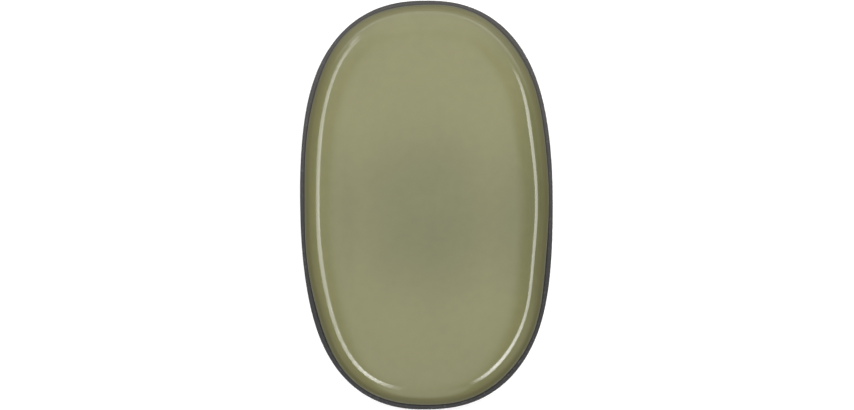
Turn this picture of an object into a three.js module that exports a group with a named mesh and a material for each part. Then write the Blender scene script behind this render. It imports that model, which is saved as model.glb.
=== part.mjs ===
// An oval serving plate with an upright rim: a dark stoneware body, a glossy glaze in the well, a matt glaze
// over the lip and the outer wall, and a matt glaze under the base. The foot ring is bare, because a glazed
// foot would fuse to the kiln shelf.
// Millimetres, +Z up, +Y along the plate's length. The origin is on the table, under the middle of the plate.
import * as THREE from "three";

// Plan of the finished rim: |x / half width| ^ END_FULLNESS + |y / half length| ^ SIDE_FULLNESS = 1.
// A fullness of 2 is an ellipse, and a larger one is blunter.
const PLATE_LENGTH = 355;
const PLATE_WIDTH = 219;
const END_FULLNESS = 2.41;
const SIDE_FULLNESS = 2.73;

// Section of the plate, from the rim inwards. Tilts are in degrees from level.
const PLATE_HEIGHT = 26;
const LIP_THICKNESS = 3.4;
const WALL_TILT = 78;
const SWEEP_TILT = 20;
const SWEEP_RADIUS = 55;
const FLOOR_THICKNESS = 5;

// The foot ring under the base.
const FOOT_HEIGHT = 2.5;
const FOOT_INSET = 26;
const FOOT_WIDTH = 5;
const FOOT_FLARE = 1.2;
const FOOT_EASE = 0.6;

// Fired coats, each on the body with a hairline bond gap. The matt coats stop short of the foot ring, where
// they are wiped away, and the two coats at the lip stop short of each other.
const WELL_GLAZE = 0.6;
const MATT_GLAZE = 0.3;
const BOND_GAP = 0.05;
const WIPED_MARGIN = 1;
const LIP_LINE = 0.3;

// Facets: turns round the plate, and steps along each round of the section.
const AROUND = 72;
const SWEEP_STEPS = 3;
const WALL_STEPS = 6;
const LIP_STEPS = 3;
const OUTLINE_STEPS = 2000;

const halfWidth = PLATE_WIDTH / 2;
const halfLength = PLATE_LENGTH / 2;
const level = Math.PI / 2;
const wallTilt = THREE.MathUtils.degToRad(WALL_TILT);
const sweepTilt = THREE.MathUtils.degToRad(SWEEP_TILT);

// A station is one point of the body's section: its reach from the plate's middle, measured across the
// narrow way, its height, and the direction its surface faces, where 0 is outwards and a quarter turn is up.
function station(reach, height, facing) {
  return { reach, height, facing };
}

// The same station lifted off the body, or sunk into it by a negative amount.
function lifted({ reach, height, facing }, by) {
  return station(reach + by * Math.cos(facing), height + by * Math.sin(facing), facing);
}

// Stations on a round, from one facing to another. A hollow round faces its own centre.
function round(centre, radius, from, to, steps) {
  return Array.from({ length: steps + 1 }, (_, step) => {
    const facing = THREE.MathUtils.lerp(from, to, step / steps);
    return lifted(station(centre.reach, centre.height, facing), radius);
  });
}

// The lip is a half round between the well's wall and the outer wall. The matt coat over it makes the plate's
// full width and height.
const lipRadius = LIP_THICKNESS / 2;
const mattSkin = BOND_GAP + MATT_GLAZE;
const wellSkin = BOND_GAP + WELL_GLAZE;
const lipCentre = station(halfWidth - mattSkin - lipRadius, PLATE_HEIGHT - mattSkin - lipRadius, level);
const wellSide = level + wallTilt;
const outerSide = wallTilt - level;

// The lip's stations from the outer wall, by its widest point and its top, to a facing on its inner side.
function lipUpTo(facing) {
  const widest = Math.max(0, outerSide);
  return [
    ...round(lipCentre, lipRadius, outerSide, widest, 1),
    ...round(lipCentre, lipRadius, widest, level, LIP_STEPS).slice(1),
    ...round(lipCentre, lipRadius, level, facing, LIP_STEPS).slice(1),
  ];
}
const lip = lipUpTo(wellSide);
const wallTop = lip.at(-1);

// The well: a level floor, a long shallow sweep, then a tighter round up to the lip. The round's radius is
// what the height leaves for it.
const floorHeight = FOOT_HEIGHT + FLOOR_THICKNESS;
const sweepRise = SWEEP_RADIUS * (1 - Math.cos(sweepTilt));
const wallRise = wallTop.height - floorHeight - sweepRise;
const wallRadius = wallRise / (Math.cos(sweepTilt) - Math.cos(wallTilt));
const wallCentre = lifted(wallTop, wallRadius);
const sweepEnd = lifted(station(wallCentre.reach, wallCentre.height, level + sweepTilt), -wallRadius);
const sweepCentre = lifted(sweepEnd, SWEEP_RADIUS);
const flatReach = sweepCentre.reach;
const well = [
  station(0, floorHeight, level),
  ...round(sweepCentre, -SWEEP_RADIUS, level, level + sweepTilt, SWEEP_STEPS),
  ...round(wallCentre, -wallRadius, level + sweepTilt, level + wallTilt, WALL_STEPS).slice(1),
];

// The outside follows the well at the body's thickness, which eases from the floor's to the lip's.
const outside = well.map((inner) => {
  const share = THREE.MathUtils.smoothstep(inner.facing - level, 0, wallTilt);
  const thickness = THREE.MathUtils.lerp(FLOOR_THICKNESS, LIP_THICKNESS, share);
  const outer = lifted(inner, -thickness);
  return station(outer.reach, outer.height, inner.facing - Math.PI);
});

// The station of the outside at a given reach, between the two on either side of it.
function outsideAt(reach) {
  const next = outside.findIndex((point) => point.reach > reach);
  const before = outside[next - 1];
  const after = outside[next];
  const share = (reach - before.reach) / (after.reach - before.reach);
  const height = THREE.MathUtils.lerp(before.height, after.height, share);
  return station(reach, height, THREE.MathUtils.lerp(before.facing, after.facing, share));
}

// The foot's bearing face lies between these reaches, and its sides flare to the roots.
const footOuter = halfWidth - FOOT_INSET;
const footInner = footOuter - FOOT_WIDTH;
const innerRoot = footInner - FOOT_FLARE;
const outerRoot = footOuter + FOOT_FLARE;
const foot = [
  outsideAt(innerRoot),
  station(footInner, FOOT_EASE, Math.PI),
  station(footInner + FOOT_EASE, 0, -level),
  station(footOuter - FOOT_EASE, 0, -level),
  station(footOuter, FOOT_EASE, 0),
  outsideAt(outerRoot),
];

// The outside from the middle to a reach, and from a reach to the lip.
function baseUpTo(reach) {
  return [...outside.filter((point) => point.reach < reach), outsideAt(reach)];
}
function wallDownTo(reach) {
  return [outsideAt(reach), ...outside.filter((point) => point.reach > reach)];
}

// The rim's outline as a curve, anticlockwise from the middle of the +X side.
class RimOutline extends THREE.Curve {
  getPoint(share, target = new THREE.Vector3()) {
    const across = Math.cos(2 * Math.PI * share);
    const along = Math.sin(2 * Math.PI * share);
    const x = halfWidth * Math.sign(across) * Math.abs(across) ** (2 / END_FULLNESS);
    const y = halfLength * Math.sign(along) * Math.abs(along) ** (2 / SIDE_FULLNESS);
    return target.set(x, y, 0);
  }
}

// The way from a point of the outline straight into the plate.
function inwards({ x, y }) {
  const across = (END_FULLNESS / halfWidth) * Math.abs(x / halfWidth) ** (END_FULLNESS - 1);
  const along = (SIDE_FULLNESS / halfLength) * Math.abs(y / halfLength) ** (SIDE_FULLNESS - 1);
  return new THREE.Vector3(-across * Math.sign(x), -along * Math.sign(y), 0).normalize();
}

const outline = new RimOutline();
outline.arcLengthDivisions = OUTLINE_STEPS;
const rim = outline.getSpacedPoints(AROUND).map((point) => ({ point, inward: inwards(point) }));

// Spins a section round the plate's middle and draws the turns out to the oval. From the rim to the level
// floor a station keeps its distance from the rim, and over the floor it closes in evenly to the middle.
function ovalSolid(profile) {
  const section = profile.map(({ reach, height }) => new THREE.Vector2(reach, height));
  const geometry = new THREE.LatheGeometry(section, AROUND);
  const position = geometry.attributes.position;
  rim.forEach(({ point, inward }, turn) => {
    section.forEach(({ x: reach, y: height }, index) => {
      const kept = Math.max(reach, flatReach);
      const spot = inward.clone().multiplyScalar(halfWidth - kept);
      spot.add(point).multiplyScalar(reach / kept);
      position.setXYZ(turn * section.length + index, spot.x, spot.y, height);
    });
  });
  geometry.computeVertexNormals();
  return geometry;
}

// The section of a coat on a run of stations: along the run at one lift and back at another. A run from the
// plate's middle is closed by the axis, and any other one by its first point.
function coat(run, liftThere, liftBack) {
  const there = run.map((point) => lifted(point, liftThere));
  const back = run.map((point) => lifted(point, liftBack)).reverse();
  const seam = run[0].reach === 0 ? [] : [there[0]];
  return [...there, ...back, ...seam];
}

function piece(name, profile, material) {
  const mesh = new THREE.Mesh(ovalSolid(profile), material);
  mesh.name = name;
  return mesh;
}

const stoneware = new THREE.MeshStandardMaterial({ color: 0x45403c, roughness: 0.9, metalness: 0 });
const oliveGlaze = new THREE.MeshStandardMaterial({ color: 0x94936d, roughness: 0.08, metalness: 0 });
const charcoalGlaze = new THREE.MeshStandardMaterial({ color: 0x444243, roughness: 0.55, metalness: 0 });

// The body, from the middle of its underside, over the foot and the lip, to the middle of the well.
const body = [
  ...outside.filter((point) => point.reach < innerRoot),
  ...foot,
  ...outside.filter((point) => point.reach > outerRoot).slice(0, -1),
  ...lip,
  ...[...well].reverse().slice(1),
];

// The matt coat goes up the outer wall and over the lip, and ends a hairline short of the well's glaze.
const outerRun = [
  ...wallDownTo(outerRoot + WIPED_MARGIN).slice(0, -1),
  ...lipUpTo(wellSide - LIP_LINE / lipRadius),
];
const baseRun = baseUpTo(innerRoot - WIPED_MARGIN);

const plate = new THREE.Group();
plate.name = "oval_plate";
plate.add(
  piece("stoneware_body", body, stoneware),
  piece("well_glaze", coat(well, BOND_GAP, wellSkin), oliveGlaze),
  piece("outer_glaze", coat(outerRun, mattSkin, BOND_GAP), charcoalGlaze),
  piece("base_glaze", coat(baseRun, mattSkin, BOND_GAP), charcoalGlaze),
);

export default plate;
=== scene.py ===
# An oval stoneware serving plate, seen from straight above: a dark fired body on a bare foot ring, a glossy
# olive glaze in the well, and a matt charcoal glaze over the lip, down the outer wall and under the base.
import math

import bmesh
import bpy
import numpy as np
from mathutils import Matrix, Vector


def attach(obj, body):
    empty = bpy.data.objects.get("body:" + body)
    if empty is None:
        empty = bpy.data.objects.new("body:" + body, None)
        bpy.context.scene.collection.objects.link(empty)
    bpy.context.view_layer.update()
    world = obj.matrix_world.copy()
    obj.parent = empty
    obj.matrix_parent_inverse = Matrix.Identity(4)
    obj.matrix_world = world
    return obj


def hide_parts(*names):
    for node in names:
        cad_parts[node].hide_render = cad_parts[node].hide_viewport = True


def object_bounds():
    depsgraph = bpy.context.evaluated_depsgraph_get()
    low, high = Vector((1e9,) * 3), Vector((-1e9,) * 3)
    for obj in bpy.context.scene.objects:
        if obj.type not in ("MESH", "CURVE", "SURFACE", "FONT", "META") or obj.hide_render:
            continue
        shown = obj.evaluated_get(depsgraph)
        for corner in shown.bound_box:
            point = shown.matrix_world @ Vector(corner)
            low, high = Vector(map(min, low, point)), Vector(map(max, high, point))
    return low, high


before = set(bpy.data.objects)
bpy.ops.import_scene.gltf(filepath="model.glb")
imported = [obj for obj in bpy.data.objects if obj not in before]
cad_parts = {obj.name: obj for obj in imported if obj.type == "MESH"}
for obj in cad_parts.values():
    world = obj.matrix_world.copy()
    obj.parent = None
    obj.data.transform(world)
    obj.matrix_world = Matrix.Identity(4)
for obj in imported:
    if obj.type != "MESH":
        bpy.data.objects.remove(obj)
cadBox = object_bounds()
scene = bpy.context.scene
scene.view_settings.view_transform = "Standard"
mm = 0.001
print("frame loaded:", sorted(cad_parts))

# Rim and section of the fired body, in mm and degrees from level. The overall sizes come from the frame.
# The rim is |x / half width| ^ endFullness + |y / half length| ^ sideFullness = 1.
plate = {
    "endFullness": 2.41,
    "sideFullness": 2.73,
    "lipThickness": 3.4,
    "wallTilt": 78,             # where the wall meets the lip
    "sweepTilt": 20,            # where the long sweep from the floor meets the tighter round of the wall
    "sweepRadius": 55,
    "floorThickness": 5,
    "undersideHeight": 2.5,
    "bondGap": 0.05,            # hairline between the body and each coat
    "mattCoat": 0.3,
    "wellCoat": 0.6,
    "turns": 160,               # steps round the rim
    "outlineSteps": 4000,       # finer ones, to measure the rim's length
    "onAxis": 0.01,             # nearer to the axis than this, a point is on it
    "mergeWithin": 0.0005,
}
halfWidth, halfLength, plateHeight = (size / mm for size in cadBox[1])


def towards(facing):
    return np.array([math.cos(math.radians(facing)), math.sin(math.radians(facing))])


def easeIn(value):
    value = np.clip(value, 0, 1)
    return value * value * (3 - 2 * value)


def between(value, start, end):
    return easeIn((value - start) / (end - start))


# Stations on a round: reach from the middle, height, and the way the surface faces (0 is outwards, 90 is up).
def roundOff(centre, radius, start, end, steps=40):
    facing = np.radians(np.linspace(start, end, steps))
    return np.column_stack([centre[0] + radius * np.cos(facing), centre[1] + radius * np.sin(facing), facing])


lipRadius = plate["lipThickness"] / 2
lipInset = lipRadius + plate["bondGap"] + plate["mattCoat"]
lipCentre = np.array([halfWidth - lipInset, plateHeight - lipInset])
sweepSide = 90 + plate["sweepTilt"]
wellSide = 90 + plate["wallTilt"]
wallTop = lipCentre + lipRadius * towards(wellSide)
floorHeight = plate["undersideHeight"] + plate["floorThickness"]
sweepRise = plate["sweepRadius"] * (1 - towards(plate["sweepTilt"])[0])
steepening = towards(plate["sweepTilt"])[0] - towards(plate["wallTilt"])[0]
wallRadius = (wallTop[1] - floorHeight - sweepRise) / steepening
wallCentre = wallTop + wallRadius * towards(wellSide)
sweepCentre = wallCentre + (plate["sweepRadius"] - wallRadius) * towards(sweepSide)
flatReach = sweepCentre[0]

# The section runs from the middle of the well, over the lip, to the middle of the underside.
wellStations = np.vstack([
    [[0, floorHeight, math.pi / 2]],
    roundOff(sweepCentre, -plate["sweepRadius"], 90, sweepSide),
    roundOff(wallCentre, -wallRadius, sweepSide, wellSide)[1:],
])
lipStations = roundOff(lipCentre, lipRadius, wellSide, wellSide - 180)[1:-1]
thinning = easeIn((wellStations[:, 2] - math.pi / 2) / math.radians(plate["wallTilt"]))
thickness = plate["floorThickness"] + (plate["lipThickness"] - plate["floorThickness"]) * thinning
outerStations = np.column_stack([
    wellStations[:, 0] - thickness * np.cos(wellStations[:, 2]),
    wellStations[:, 1] - thickness * np.sin(wellStations[:, 2]),
    wellStations[:, 2] - math.pi,
])[::-1]
section = np.vstack([wellStations, lipStations, outerStations])
runs = np.concatenate([[0], np.cumsum(np.hypot(*np.diff(section[:, :2], axis=0).T))])
sweepRun = flatReach + plate["sweepRadius"] * math.radians(plate["sweepTilt"])
lipRun = runs[len(wellStations) - 1]
outsideRun = runs[-len(outerStations)]
undersideRun = runs[-2]
lastRun = runs[-1]


def stationAt(run):
    return [np.interp(run, runs, column) for column in section.T]


def runUnder(reach):            # where the outside has that reach
    return np.interp(reach, outerStations[::-1, 0], runs[-len(outerStations):][::-1])


# Where the section is drawn, far apart on the level floor and close together on the lip: (from, to, points).
stretches = [
    (0, flatReach, 10),
    (flatReach, sweepRun, 8),
    (sweepRun, lipRun, 13),
    (lipRun, outsideRun, 10),
    (outsideRun, undersideRun, 20),
    (undersideRun, lastRun, 10),
]
drawnRuns = np.unique(np.concatenate([np.linspace(*stretch) for stretch in stretches]).round(4))

# The rim, evenly spaced by its length and anticlockwise from the +X side.
angles = np.linspace(0, 2 * math.pi, plate["outlineSteps"] + 1)
outlineX = halfWidth * np.sign(np.cos(angles)) * np.abs(np.cos(angles)) ** (2 / plate["endFullness"])
outlineY = halfLength * np.sign(np.sin(angles)) * np.abs(np.sin(angles)) ** (2 / plate["sideFullness"])
outlineWay = np.concatenate([[0], np.cumsum(np.hypot(np.diff(outlineX), np.diff(outlineY)))])
outlineWay *= 2 * math.pi / outlineWay[-1]


# A point of the rim, and the way from it straight into the plate.
def rimAt(turn):
    ends, sides = plate["endFullness"], plate["sideFullness"]
    x = np.interp(turn, outlineWay, outlineX)
    y = np.interp(turn, outlineWay, outlineY)
    across = ends / halfWidth * np.abs(x / halfWidth) ** (ends - 1) * np.sign(x)
    along = sides / halfLength * np.abs(y / halfLength) ** (sides - 1) * np.sign(y)
    size = np.hypot(across, along)
    return x, y, -across / size, -along / size


# What the hand leaves in a pressed plate: waves as (how many round the rim, mm, degrees to the first crest).
handMade = {
    "rimStray": [(3, 0.24, 24), (4, 0.12, 68), (5, 0.12, 33), (6, 0.14, 8), (8, 0.17, 2)],
    "wallStray": [(1, 0.4, 244), (6, 0.45, 31), (9, 0.28, 20), (10, 0.2, 20)],
    "wallFoot": (75, 90),       # reaches over which the wall's stray comes in, and goes again below the lip
    "wallHead": (96, 105),
    "lipRise": [(2, 0.12, 40), (5, 0.08, 15)],
    "lipWidth": 4.15,           # of the matt band over the lip, seen from above
    "lineBelow": 8,             # how far below the lip the line is looked for, and in how many steps
    "lineSteps": 80,
    "glazeLine": [(9, 0.38, 19), (4, 0.23, 51), (6, 0.19, 40), (5, 0.17, 67), (1, 0.18, 274)],
    "lipSwell": 0.65,           # the share of the glaze line's waves that is the lip's own thickness
    "lipFoot": (94, 104),       # reaches over which the swelling comes in
    "wipedEdge": [(7, 0.3, 10), (13, 0.2, 5), (23, 0.12, 0)],
    "floorWave": 0.03,
    "floorWaveLength": 95,
    "floorWaves": [(1, 0.3, 1), (-0.4, 0.8, 2)],    # (share across, share along, radians at the middle)
}


def waves(turn, rows):
    return sum(size * np.cos(count * (turn - math.radians(crest))) for count, size, crest in rows)


# The glaze line's run at each turn, from the width of the matt band seen from above.
lipTopRun = (lipRun + outsideRun) / 2
lipSlope = np.linspace(lipRun - handMade["lineBelow"], lipTopRun, handMade["lineSteps"])
lipReach, _, lipFacing = stationAt(lipSlope)
lipWidths = halfWidth - lipReach - (plate["bondGap"] + plate["mattCoat"]) * np.cos(lipFacing)


def glazeLineAt(turn):
    width = handMade["lipWidth"] + waves(turn, handMade["glazeLine"]) * (1 - handMade["lipSwell"])
    return np.interp(width, lipWidths[::-1], lipSlope[::-1])


# Spins a closed section of (run, lift) pairs and draws the turns out to the oval. slide moves the runs of a
# piece with a wavy edge. Every vertex keeps how far it lies from the glaze line, in mm, for the materials.
def spinPiece(name, outline, slide=None):
    bm = bmesh.new()
    runLayer = bm.verts.layers.float.new("run")
    liftLayer = bm.verts.layers.float.new("lift")
    lineLayer = bm.verts.layers.float.new("fromLine")
    corners = []
    for run, lift in outline:
        reach, height, facing = stationAt(run)
        corner = bm.verts.new((reach + lift * math.cos(facing), 0, height + lift * math.sin(facing)))
        corner[runLayer] = run
        corner[liftLayer] = lift
        corners.append(corner)
    sides = []
    for corner, following in zip(corners, corners[1:] + corners[:1]):
        if max(corner.co.x, following.co.x) > plate["onAxis"]:
            sides.append(bm.edges.new((corner, following)))
    bmesh.ops.spin(bm, geom=corners + sides, axis=(0, 0, 1), cent=(0, 0, 0), steps=plate["turns"],
                   angle=2 * math.pi, use_merge=True)
    bmesh.ops.remove_doubles(bm, verts=bm.verts, dist=plate["mergeWithin"])
    bmesh.ops.recalc_face_normals(bm, faces=bm.faces)
    run = np.array([vert[runLayer] for vert in bm.verts])
    lift = np.array([vert[liftLayer] for vert in bm.verts])
    turn = np.array([math.atan2(vert.co.y, vert.co.x) for vert in bm.verts]) % (2 * math.pi)
    if slide:
        run = run + slide(run, turn)
    reach, height, facing = stationAt(run)
    reach = reach + lift * np.cos(facing)
    height = height + lift * np.sin(facing)
    rimX, rimY, inX, inY = rimAt(turn)
    nearRim = easeIn((reach - flatReach) / (halfWidth - flatReach))
    kept = np.maximum(reach, flatReach)
    inset = halfWidth - kept - waves(turn, handMade["rimStray"]) * nearRim
    inWall = between(reach, *handMade["wallFoot"]) * (1 - between(reach, *handMade["wallHead"]))
    inset = inset + waves(turn, handMade["wallStray"]) * inWall
    inLip = between(reach, *handMade["lipFoot"]) * np.maximum(0, -np.cos(facing))
    inset = inset + waves(turn, handMade["glazeLine"]) * handMade["lipSwell"] * inLip
    x = (rimX + inX * inset) * reach / kept
    y = (rimY + inY * inset) * reach / kept
    ripple = 2 * math.pi / handMade["floorWaveLength"]
    uneven = sum(np.sin(ripple * (across * x + along * y) + start)
                 for across, along, start in handMade["floorWaves"])
    standing = easeIn((height - plate["undersideHeight"]) / plate["floorThickness"])
    height = height + waves(turn, handMade["lipRise"]) * nearRim * standing
    height = height + handMade["floorWave"] * uneven * (1 - nearRim) * standing
    fromLine = run - glazeLineAt(turn)
    for vert, *place, away in zip(bm.verts, x, y, height, fromLine):
        vert.co = place
        vert[lineLayer] = away
    bmesh.ops.scale(bm, vec=(mm, mm, mm), verts=bm.verts)
    for face in bm.faces:
        face.smooth = True
    mesh = bpy.data.meshes.new(name)
    bm.to_mesh(mesh)
    bm.free()
    piece = bpy.data.objects.new(name, mesh)
    scene.collection.objects.link(piece)
    finer = piece.modifiers.new("finer", "SUBSURF")
    finer.levels = finer.render_levels = 1
    return piece


# The section of a coat between two runs. An end that isn't on the axis is rounded, and all is in thicknesses.
coatEnd = {
    "edge": [(0, 0), (0, 0.5), (0.15, 0.82), (0.5, 0.97), (1, 1)],      # (along, up)
    "clear": 1.5,               # no other point comes nearer to the end
}


def coatLine(first, last, thickness):
    low = plate["bondGap"]
    clear = thickness * coatEnd["clear"]
    inner = [run for run in drawnRuns if first + clear < run < last - clear]
    line = []
    if first > 0:
        line += [(first + along * thickness, low + up * thickness) for along, up in coatEnd["edge"]]
    else:
        line += [(first, low + thickness)]
    line += [(run, low + thickness) for run in inner]
    if last < lastRun:
        line += [(last - along * thickness, low + up * thickness) for along, up in reversed(coatEnd["edge"])]
    else:
        line += [(last, low + thickness), (last, low)]
    line += [(run, low) for run in reversed(inner)]
    if first == 0:
        line += [(first, low)]
    return line


# Colour values are sRGB, as picked.
def toLinear(hexColour):
    parts = [int(hexColour[at:at + 2], 16) / 255 for at in (1, 3, 5)]
    return [part / 12.92 if part <= 0.04045 else ((part + 0.055) / 1.055) ** 2.4 for part in parts] + [1]


# One node with its settings. An input is a value, or the socket that feeds it.
def addNode(tree, kind, inputs={}, **settings):
    node = tree.nodes.new("ShaderNode" + kind)
    for name, value in settings.items():
        setattr(node, name, value)
    for socket, value in inputs.items():
        if isinstance(value, bpy.types.NodeSocket):
            tree.links.new(value, node.inputs[socket])
        else:
            node.inputs[socket].default_value = value
    return node


def perMm(size):                # a pattern's scale from its size in mm
    return 1 / (size * mm)


def newMaterial(name):
    material = bpy.data.materials.new(name)
    material.use_nodes = True
    return material, material.node_tree, material.node_tree.nodes["Principled BSDF"]


def finishPiece(piece, material, node):
    piece.data.materials.append(material)
    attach(piece, "root")
    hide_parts(node)
    print("piece made:", piece.name, len(piece.data.polygons), "faces")


# Fired stoneware, dark and bare where the foot was wiped: dull, brown-grey, with fine grog in it.
stoneware = {
    "footInner": 78.5,          # reaches of the bearing ring, mm
    "footOuter": 83.5,
    "footFlare": 1.2,
    "footWaist": 1.8,           # the height half way along the flare
    "footEase": 0.7,
    "footClear": 1,             # the section's other points keep off the foot by this
    "clay": "#4b433c",
    "toasted": "#5a4a3d",       # where the bare clay took more heat
    "toastedSize": 18,          # mm
    "grog": "#7d7264",
    "grogSize": 1.1,
    "grogGrain": (0.12, 0.3),   # in grain sizes from its middle: full within, gone by
    "grogShare": 0.8,
    "pitDepth": 0.05,
    "roughness": 0.9,
}


def makeStoneware():
    material, tree, shader = newMaterial("bareFiredStoneware")
    spot = addNode(tree, "TexCoord").outputs["Object"]
    cloud = addNode(tree, "TexNoise", {"Vector": spot, "Scale": perMm(stoneware["toastedSize"]), "Detail": 2})
    clay = addNode(tree, "Mix", {0: cloud.outputs["Fac"], 6: toLinear(stoneware["clay"]),
                                 7: toLinear(stoneware["toasted"])}, data_type="RGBA")
    grog = addNode(tree, "TexVoronoi", {"Vector": spot, "Scale": perMm(stoneware["grogSize"])})
    full, gone = stoneware["grogGrain"]
    speck = addNode(tree, "MapRange", {"Value": grog.outputs["Distance"], "From Min": full, "From Max": gone,
                                       "To Min": stoneware["grogShare"], "To Max": 0})
    colour = addNode(tree, "Mix", {0: speck.outputs[0], 6: clay.outputs[2], 7: toLinear(stoneware["grog"])},
                     data_type="RGBA")
    bump = addNode(tree, "Bump", {"Height": grog.outputs["Distance"], "Distance": stoneware["pitDepth"] * mm})
    tree.links.new(colour.outputs[2], shader.inputs["Base Color"])
    tree.links.new(bump.outputs[0], shader.inputs["Normal"])
    shader.inputs["Roughness"].default_value = stoneware["roughness"]
    return material


def bodyLine():
    inner, outer = stoneware["footInner"], stoneware["footOuter"]
    ease, flare, waist = stoneware["footEase"], stoneware["footFlare"], stoneware["footWaist"]
    third = ease / 3
    footPoints = [              # reach and height, where None is on the underside
        (outer + flare, None), (outer + flare / 2, waist), (outer, ease), (outer - third, third),
        (outer - ease, 0), (outer - 2 * ease, 0), (inner + 2 * ease, 0), (inner + ease, 0),
        (inner + third, third), (inner, ease), (inner - flare / 2, waist), (inner - flare, None),
    ]
    foot = []
    for reach, height in footPoints:
        run = runUnder(reach)
        under = stationAt(run)[1]
        foot.append((run, 0 if height is None else under - height))
    footStart = foot[0][0] - stoneware["footClear"]
    footEnd = foot[-1][0] + stoneware["footClear"]
    before = [(run, 0) for run in drawnRuns if run < footStart]
    after = [(run, 0) for run in drawnRuns if run > footEnd]
    return before + foot + after


finishPiece(spinPiece("stonewareBody", bodyLine()), makeStoneware(), "stoneware_body")

# Glossy olive glaze in the well: glassy, with painted shade over the middle of the floor, along its sides and
# on the near wall, browner where it thins towards the lip, and a painted reflection beside the matt band.
wellGlaze = {
    "slideLength": 12,          # the stretch below the line that follows its waves, mm
    "thickAndShaded": "#646446",        # a little deeper where the glaze ran thick, and the colour of the painted shade
    "even": "#71704e",
    "thinShadedNear": "#615e43",      # the thin glaze on the wall, with painted shade making it darker at the near end
    "thinFar": "#6e6b4c",
    "nearEnd": -150,            # mm along the plate
    "farEnd": 150,
    # painted shade in the middle of the floor and along its sides: (middle x, y, reach x, y in mm, share of
    # full shade)
    "shadePatches": [(0, -9, 95, 105, 1), (100, -8, 55, 140, 0.75), (-76, -10, 22, 95, 0.45)],
    "shadeHeart": 0.2,           # the share of its reach where a patch of painted shade is darkest
    "thinFrom": 12,             # mm below the line, where it starts to thin and where it is thinnest
    "thinBy": 5,
    "edge": "#666551",          # greyer beside the matt band: a painted reflection of the pale room on the steep wall
    "reflectionFrom": 4.5,            # mm below the line, where the painted reflection starts and where it is strongest
    "reflectionBy": 1.5,
    "cloudSize": 55,            # faint clouds where the glaze ran thicker, and finer mottling in them, mm
    "mottleSize": 8,
    "cloudSpan": (0.6, 1.4),    # of the clouds and the mottling added up: thinnest, thickest
    "cloudy": 0.2,
    "rippleSize": 11,           # the slow ripple that a fired glaze keeps, mm
    "rippleDepth": 0.0025,
    "gloss": (0.06, 0.1),       # roughness, from the thin clouds to the thick ones
    "glossSpan": (0.3, 0.7),    # of the clouds alone
    "ior": 1.6,
}


def makeOliveGlaze():
    material, tree, shader = newMaterial("glossyOliveGlaze")
    spot = addNode(tree, "TexCoord").outputs["Object"]
    away = addNode(tree, "Attribute", attribute_name="fromLine").outputs["Fac"]
    thin = addNode(tree, "MapRange", {"Value": away, "From Min": -wellGlaze["thinFrom"],
                                      "From Max": -wellGlaze["thinBy"]}, interpolation_type="SMOOTHSTEP")
    cloud = addNode(tree, "TexNoise", {"Vector": spot, "Scale": perMm(wellGlaze["cloudSize"]), "Detail": 2})
    mottle = addNode(tree, "TexNoise", {"Vector": spot, "Scale": perMm(wellGlaze["mottleSize"]), "Detail": 3})
    uneven = addNode(tree, "Math", {0: cloud.outputs["Fac"], 1: mottle.outputs["Fac"]}, operation="ADD")
    thinnest, thickest = wellGlaze["cloudSpan"]
    deeper = addNode(tree, "MapRange", {"Value": uneven.outputs[0],
                                        "From Min": thinnest, "From Max": thickest,
                                        "To Min": -wellGlaze["cloudy"], "To Max": wellGlaze["cloudy"]})
    depthAndShade = deeper.outputs[0]
    # painted shade: darker patches over the middle of the floor and along its sides
    for x, y, reachX, reachY, share in wellGlaze["shadePatches"]:
        oval = addNode(tree, "Mapping", {"Vector": spot, "Location": (x * mm, y * mm, 0),
                                         "Scale": (reachX * mm, reachY * mm, 1)}, vector_type="TEXTURE")
        far = addNode(tree, "VectorMath", {0: oval.outputs[0]}, operation="LENGTH")
        shadePatch = addNode(tree, "MapRange", {"Value": far.outputs["Value"], "From Min": wellGlaze["shadeHeart"],
                                          "To Min": share, "To Max": 0}, interpolation_type="SMOOTHSTEP")
        depthAndShade = addNode(tree, "Math", {0: shadePatch.outputs[0], 1: depthAndShade}, operation="ADD").outputs[0]
    colour = addNode(tree, "Mix", {0: depthAndShade, 6: toLinear(wellGlaze["even"]),
                                   7: toLinear(wellGlaze["thickAndShaded"])}, data_type="RGBA", clamp_factor=False)
    # painted shade: the thin glaze on the wall darker towards the near end
    along = addNode(tree, "SeparateXYZ", {0: spot}).outputs["Y"]
    lean = addNode(tree, "MapRange", {"Value": along, "From Min": wellGlaze["nearEnd"] * mm,
                                      "From Max": wellGlaze["farEnd"] * mm})
    wall = addNode(tree, "Mix", {0: lean.outputs[0], 6: toLinear(wellGlaze["thinShadedNear"]),
                                 7: toLinear(wellGlaze["thinFar"])}, data_type="RGBA")
    colour = addNode(tree, "Mix", {0: thin.outputs[0], 6: colour.outputs[2], 7: wall.outputs[2]},
                     data_type="RGBA")
    # painted reflection: greyer just below the glaze line
    edge = addNode(tree, "MapRange", {"Value": away, "From Min": -wellGlaze["reflectionFrom"],
                                      "From Max": -wellGlaze["reflectionBy"]}, interpolation_type="SMOOTHSTEP")
    colour = addNode(tree, "Mix", {0: edge.outputs[0], 6: colour.outputs[2],
                                   7: toLinear(wellGlaze["edge"])}, data_type="RGBA")
    thinnest, thickest = wellGlaze["glossSpan"]
    gloss = addNode(tree, "MapRange", {"Value": cloud.outputs["Fac"],
                                       "From Min": thinnest, "From Max": thickest,
                                       "To Min": wellGlaze["gloss"][0], "To Max": wellGlaze["gloss"][1]})
    ripple = addNode(tree, "TexNoise", {"Vector": spot, "Scale": perMm(wellGlaze["rippleSize"]), "Detail": 0})
    bump = addNode(tree, "Bump", {"Height": ripple.outputs["Fac"], "Distance": wellGlaze["rippleDepth"] * mm})
    tree.links.new(colour.outputs[2], shader.inputs["Base Color"])
    tree.links.new(gloss.outputs[0], shader.inputs["Roughness"])
    tree.links.new(bump.outputs[0], shader.inputs["Normal"])
    shader.inputs["IOR"].default_value = wellGlaze["ior"]
    return material


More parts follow.
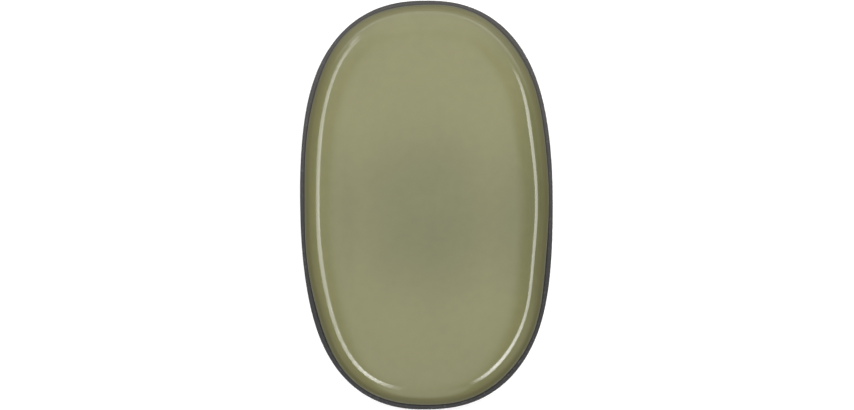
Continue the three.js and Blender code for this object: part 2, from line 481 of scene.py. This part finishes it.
def slideWell(run, turn):
    share = easeIn((run - lipRun) / wellGlaze["slideLength"] + 1)
    return share * (glazeLineAt(turn) - lipRun)


wellLine = coatLine(0, lipRun, plate["wellCoat"])
finishPiece(spinPiece("wellGlaze", wellLine, slideWell), makeOliveGlaze(), "well_glaze")

# Matt charcoal glaze: satin-dull and nearly black, with a fine tooth, rubbed a little on the lip, and a
# painted sheen that makes it lighter towards the far end.
mattGlaze = {
    "hairline": 0.15,           # between the two glazes, mm
    "slideLength": 5,
    "wipedReach": 85.7,
    "baseReach": 76.3,
    "charcoal": "#1f1e1f",
    "sheenLit": "#393735",        # painted sheen: lighter towards the far end, where more light falls on the lip
    "sheenFrom": -100,         # mm along the plate
    "sheenBy": 185,
    "rubbed": "#4a4846",        # flecks on the crest of the lip
    "rubbedSize": 2.5,          # mm
    "rubbedSpan": (0.55, 0.75),  # of the fleck pattern: where a fleck starts and where it is bare
    "crest": 2.4,               # mm from the glaze line over to the top of the lip
    "roughness": 0.6,
    "specular": 0.4,
    "toothSize": 0.5,           # mm, coarse enough to show
    "toothDepth": 0.02,
    "toothStrength": 0.6,
}


def makeCharcoalGlaze():
    material, tree, shader = newMaterial("mattCharcoalGlaze")
    spot = addNode(tree, "TexCoord").outputs["Object"]
    along = addNode(tree, "SeparateXYZ", {0: spot}).outputs["Y"]
    # painted sheen: the charcoal lightens towards the far end of the plate
    paintedSheen = addNode(tree, "MapRange", {"Value": along, "From Min": mattGlaze["sheenFrom"] * mm,
                                      "From Max": mattGlaze["sheenBy"] * mm},
                   interpolation_type="SMOOTHSTEP")
    colour = addNode(tree, "Mix", {0: paintedSheen.outputs[0], 6: toLinear(mattGlaze["charcoal"]),
                                   7: toLinear(mattGlaze["sheenLit"])}, data_type="RGBA")
    away = addNode(tree, "Attribute", attribute_name="fromLine").outputs["Fac"]
    fromCrest = addNode(tree, "Math", {0: away, 1: mattGlaze["crest"]}, operation="SUBTRACT")
    offCrest = addNode(tree, "Math", {0: fromCrest.outputs[0]}, operation="ABSOLUTE")
    onCrest = addNode(tree, "MapRange", {"Value": offCrest.outputs[0], "From Max": mattGlaze["crest"] / 2,
                                         "To Min": 1, "To Max": 0})
    flecks = addNode(tree, "TexNoise", {"Vector": spot, "Scale": perMm(mattGlaze["rubbedSize"]), "Detail": 4})
    started, bare = mattGlaze["rubbedSpan"]
    worn = addNode(tree, "MapRange", {"Value": flecks.outputs["Fac"], "From Min": started, "From Max": bare})
    rubbed = addNode(tree, "Math", {0: onCrest.outputs[0], 1: worn.outputs[0]}, operation="MULTIPLY")
    colour = addNode(tree, "Mix", {0: rubbed.outputs[0], 6: colour.outputs[2],
                                   7: toLinear(mattGlaze["rubbed"])}, data_type="RGBA")
    tooth = addNode(tree, "TexNoise", {"Vector": spot, "Scale": perMm(mattGlaze["toothSize"]), "Detail": 3})
    bump = addNode(tree, "Bump", {"Height": tooth.outputs["Fac"], "Distance": mattGlaze["toothDepth"] * mm,
                                  "Strength": mattGlaze["toothStrength"]})
    tree.links.new(colour.outputs[2], shader.inputs["Base Color"])
    tree.links.new(bump.outputs[0], shader.inputs["Normal"])
    shader.inputs["Roughness"].default_value = mattGlaze["roughness"]
    shader.inputs["Specular IOR Level"].default_value = mattGlaze["specular"]
    return material


charcoalGlaze = makeCharcoalGlaze()
wipedRun = runUnder(mattGlaze["wipedReach"])
baseRun = runUnder(mattGlaze["baseReach"])


def slideOuter(run, turn):
    nearLine = 1 - easeIn((run - lipRun) / mattGlaze["slideLength"])
    nearFoot = easeIn((run - wipedRun) / mattGlaze["slideLength"] + 1)
    return nearLine * (glazeLineAt(turn) - lipRun) + nearFoot * waves(turn, handMade["wipedEdge"])


def slideBase(run, turn):
    return (1 - easeIn((run - baseRun) / mattGlaze["slideLength"])) * waves(turn, handMade["wipedEdge"])


outerLine = coatLine(lipRun + mattGlaze["hairline"], wipedRun, plate["mattCoat"])
finishPiece(spinPiece("outerGlaze", outerLine, slideOuter), charcoalGlaze, "outer_glaze")
baseLine = coatLine(baseRun, lastRun, plate["mattCoat"])
finishPiece(spinPiece("baseGlaze", baseLine, slideBase), charcoalGlaze, "base_glaze")

# A plain white table, lit a little from below, so that its shadows stay pale.
studioFloor = {"width": 8, "drop": 0.0002, "white": "#f2f2f2", "glow": 0.3}


def makeFloor():
    bm = bmesh.new()
    bmesh.ops.create_grid(bm, x_segments=1, y_segments=1, size=studioFloor["width"] / 2)
    bmesh.ops.translate(bm, vec=(0, 0, -studioFloor["drop"]), verts=bm.verts)
    mesh = bpy.data.meshes.new("studioFloor")
    bm.to_mesh(mesh)
    bm.free()
    floor = bpy.data.objects.new("studioFloor", mesh)
    scene.collection.objects.link(floor)
    material, _, shader = newMaterial("whiteStudioPaper")
    shader.inputs["Base Color"].default_value = toLinear(studioFloor["white"])
    shader.inputs["Roughness"].default_value = 1
    shader.inputs["Specular IOR Level"].default_value = 0
    shader.inputs["Emission Color"].default_value = toLinear(studioFloor["white"])
    shader.inputs["Emission Strength"].default_value = studioFloor["glow"]
    mesh.materials.append(material)


makeFloor()
print("floor laid")

# Soft studio light: an arc of narrow softboxes on each side, and a dim room with wide soft glows.
studio = {
    "arcDistance": 1.45,        # metres
    "boxes": 20,                # softboxes in each arc
    "power": 4,                 # watts for a square metre of softbox at a glow of 1
    "rightHeight": 0.48,
    "leftHeight": 0.42,
    # arcs: (degrees round from +X, degrees from straight up, glow)
    "rightArc": [(-40, 41, 1.5), (-34, 41, 1.7), (-24, 42, 2.6), (-5, 42, 3), (20, 41, 3.4), (44, 40, 6.4),
                 (54, 39, 6), (76, 38, 0.8)],
    "leftArc": [(116, 38, 0.8), (128, 38, 5), (144, 38, 8.2), (160, 40, 6), (172, 42, 4.3), (186, 43, 4),
                (194, 43, 2.6), (200, 43, 0.3)],
    "room": 0.01,
    # glows: (degrees round from +X, degrees from straight up, full within, gone by, glow)
    "glows": [(-90, 64, 18, 77, 1.27), (85, 16, 0, 28, 1.1), (85, 59, 8, 31, 0.95), (10, 38, 5, 30, 0.2),
              (-49, 98, 0, 33, 1.35), (-90, 100, 0, 45, 0.5), (-140, 100, 0, 45, 1.4), (-90, 14, 0, 14, 0.25),
              (150, 70, 0, 30, 0.35)],
    # a dim panel low down beside the head of the right arc: the same three, and its width and height
    "panel": (-41, 56, 1.8, 0.22, 0.4),
}


def fromAbove(azimuth, polar):
    (up, outwards), (across, along) = towards(polar), towards(azimuth)
    return Vector((outwards * across, outwards * along, up))


def addSoftbox(name, azimuth, polar, glow, width, height):
    place = studio["arcDistance"] * fromAbove(azimuth, polar)
    light = bpy.data.lights.new(name, "AREA")
    light.shape = "RECTANGLE"
    light.size = width
    light.size_y = height
    light.energy = studio["power"] * light.size * light.size_y * glow
    lamp = bpy.data.objects.new(name, light)
    lamp.location = place
    lamp.rotation_euler = (-place).to_track_quat("-Z", "Y").to_euler()
    lamp.visible_camera = False
    scene.collection.objects.link(lamp)


def addRoom():
    world = bpy.data.worlds.new("studioRoom")
    world.use_nodes = True
    tree = world.node_tree
    way = addNode(tree, "TexCoord").outputs["Generated"]
    light = studio["room"]
    for azimuth, polar, full, gone, glow in studio["glows"]:
        near = addNode(tree, "VectorMath", {0: way, 1: fromAbove(azimuth, polar)}, operation="DOT_PRODUCT")
        shine = addNode(tree, "MapRange", {"Value": near.outputs["Value"], "From Min": towards(gone)[0],
                                           "From Max": towards(full)[0], "To Max": glow},
                        interpolation_type="SMOOTHSTEP")
        light = addNode(tree, "Math", {0: shine.outputs[0], 1: light}, operation="ADD").outputs[0]
    backdrop = tree.nodes["Background"]
    backdrop.inputs["Color"].default_value = toLinear("#ffffff")
    tree.links.new(light, backdrop.inputs["Strength"])
    scene.world = world


for side in ("right", "left"):
    azimuths, polars, glows = zip(*studio[side + "Arc"])
    boxArc = math.radians(azimuths[-1] - azimuths[0]) / (studio["boxes"] - 1)
    for azimuth in np.linspace(azimuths[0], azimuths[-1], studio["boxes"]):
        polar = np.interp(azimuth, azimuths, polars)
        glow = np.interp(azimuth, azimuths, glows)
        width = boxArc * studio["arcDistance"] * towards(polar)[1]
        addSoftbox(f"{side}Box{azimuth:.0f}", azimuth, polar, glow, width, studio[side + "Height"])
addSoftbox("dimPanel", *studio["panel"])
addRoom()
print("lights hung")

# The camera looks straight down. The plate lies a fraction of a degree turned and a hair off centre in view.
camera = {"lens": 87.4, "sensor": 36, "height": 1.824, "x": 0.00043, "y": -0.00019, "turn": -0.74}


def addCamera():
    view = bpy.data.cameras.new("overheadCamera")
    view.lens = camera["lens"]
    view.sensor_width = camera["sensor"]
    holder = bpy.data.objects.new("overheadCamera", view)
    holder.location = (camera["x"], camera["y"], camera["height"])
    holder.rotation_euler = (0, 0, math.radians(camera["turn"]))
    scene.collection.objects.link(holder)
    scene.camera = holder


addCamera()
print("camera set")
